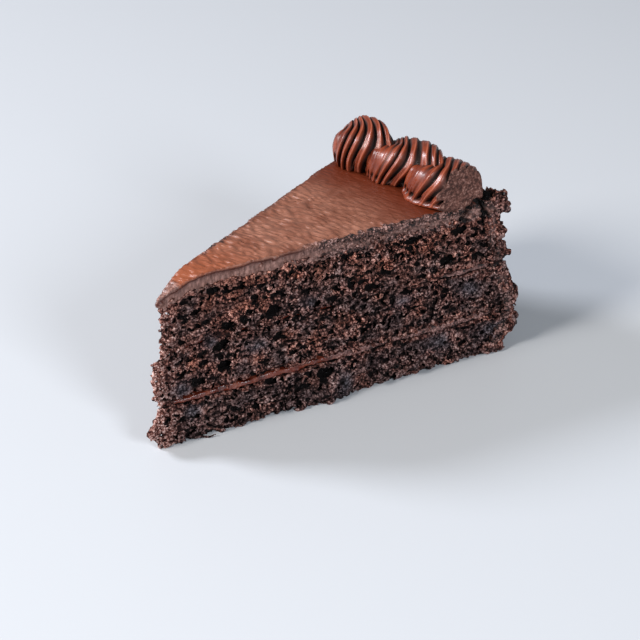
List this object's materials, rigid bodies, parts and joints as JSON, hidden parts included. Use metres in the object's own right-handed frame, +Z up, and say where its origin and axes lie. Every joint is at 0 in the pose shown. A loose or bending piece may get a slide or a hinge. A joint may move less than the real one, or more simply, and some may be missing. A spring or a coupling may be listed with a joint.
{
  "type": "slice of chocolate cake",
  "caption": "Wedge of layered chocolate cake with two thin fillings, iced top, crumb-coated rim and piped icing shells along the rim.",
  "frame": {"origin": "middle of the slice's length and width, on its flat underside", "axes": "+X from the tip to the rim, +Z up, +Y towards the far cut face"},
  "size_m": [0.1442, 0.0708, 0.0775],
  "materials": {
    "sponge": "moist open chocolate crumb, matt",
    "filling": "smeared chocolate icing, satin",
    "icing": "set chocolate icing, satin, finely wrinkled",
    "piping": "piped chocolate icing, soft gloss"
  },
  "bodies": {
    "root": {"sponge_bottom": "sponge", "filling_lower": "filling", "sponge_middle": "sponge", "filling_upper": "filling", "sponge_top": "sponge", "icing": "icing", "piped_shell_1": "piping", "piped_shell_2": "piping", "piped_shell_3": "piping"}
  },
  "joints": []
}
